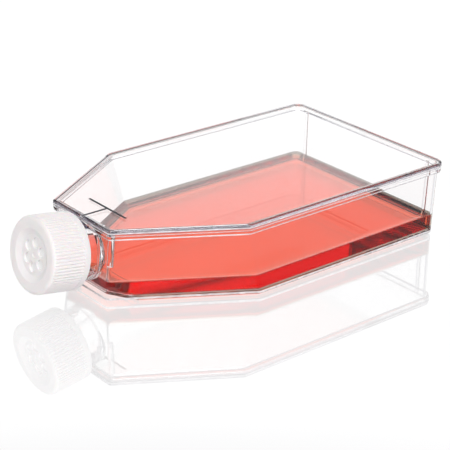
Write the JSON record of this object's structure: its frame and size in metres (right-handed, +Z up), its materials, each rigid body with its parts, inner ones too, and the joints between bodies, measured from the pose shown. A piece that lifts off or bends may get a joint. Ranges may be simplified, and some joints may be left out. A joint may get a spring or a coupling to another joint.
{
  "type": "cell culture flask",
  "caption": "Clear flat cell culture flask with sloping shoulders, a canted neck, a ribbed vented screw cap and a shallow layer of red medium.",
  "frame": {"origin": "middle of the foot ridge's outline, on the surface the flask lies on", "axes": "+Z up, +X along the flask from the neck end towards the back, +Y across it"},
  "size_m": [0.2298, 0.117, 0.0476],
  "materials": {
    "clear_polystyrene_body": "clear, polished moulding",
    "clear_polystyrene_plate": "clear, polished moulding",
    "culture_medium": "clear red liquid",
    "white_polyethylene": "moulded, slightly waxy",
    "vent_membrane": "fine porous sheet"
  },
  "bodies": {
    "flask": {"flask_body": "clear_polystyrene_body", "top_plate": "clear_polystyrene_plate", "culture_medium": "culture_medium"},
    "cap_carrier": {"vent_membrane": "vent_membrane"},
    "cap": {"screw_cap": "white_polyethylene"}
  },
  "joints": [
    {"name": "cap_rise", "type": "slide", "parent": "flask", "child": "cap_carrier", "axis": [-0.9871, 0, 0.1599], "range_m": [0, 0.02]},
    {"name": "cap_turn", "type": "hinge", "parent": "cap_carrier", "child": "cap", "pos_m": [-0.10585, 0, 0.0242], "axis": [-0.9871, 0, 0.1599], "range_deg": [0, 1800]}
  ],
  "couplings": [
    {"joint": "cap_rise", "follows": "cap_turn", "m_per_rad": 0.0006366}
  ]
}
